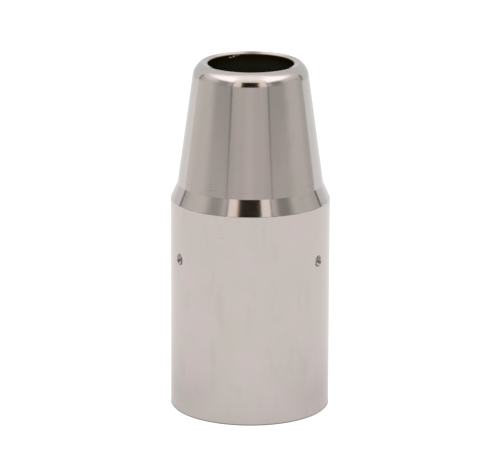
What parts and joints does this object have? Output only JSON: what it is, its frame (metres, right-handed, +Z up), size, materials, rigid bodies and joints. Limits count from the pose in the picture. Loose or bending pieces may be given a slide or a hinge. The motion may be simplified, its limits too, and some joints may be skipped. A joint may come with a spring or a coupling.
{
  "type": "welding gas nozzle",
  "caption": "Gas nozzle for a welding torch: bright plated shell with a tapered nose and rounded lip, staked over an insulating sleeve with a threaded insert for the torch neck.",
  "frame": {"origin": "centre of the base ring, in the plane that the nozzle stands on", "axes": "+Z up the nozzle's axis, from the threaded end to the gas outlet; -Y is the side that the picture shows"},
  "size_m": [0.0256, 0.0256, 0.0567],
  "materials": {
    "plated_shell": "polished",
    "moulded_sleeve": "matte",
    "brass_insert": "satin"
  },
  "bodies": {
    "root": {"nozzle_shell": "plated_shell", "insulating_sleeve": "moulded_sleeve", "threaded_insert": "brass_insert"}
  },
  "joints": []
}
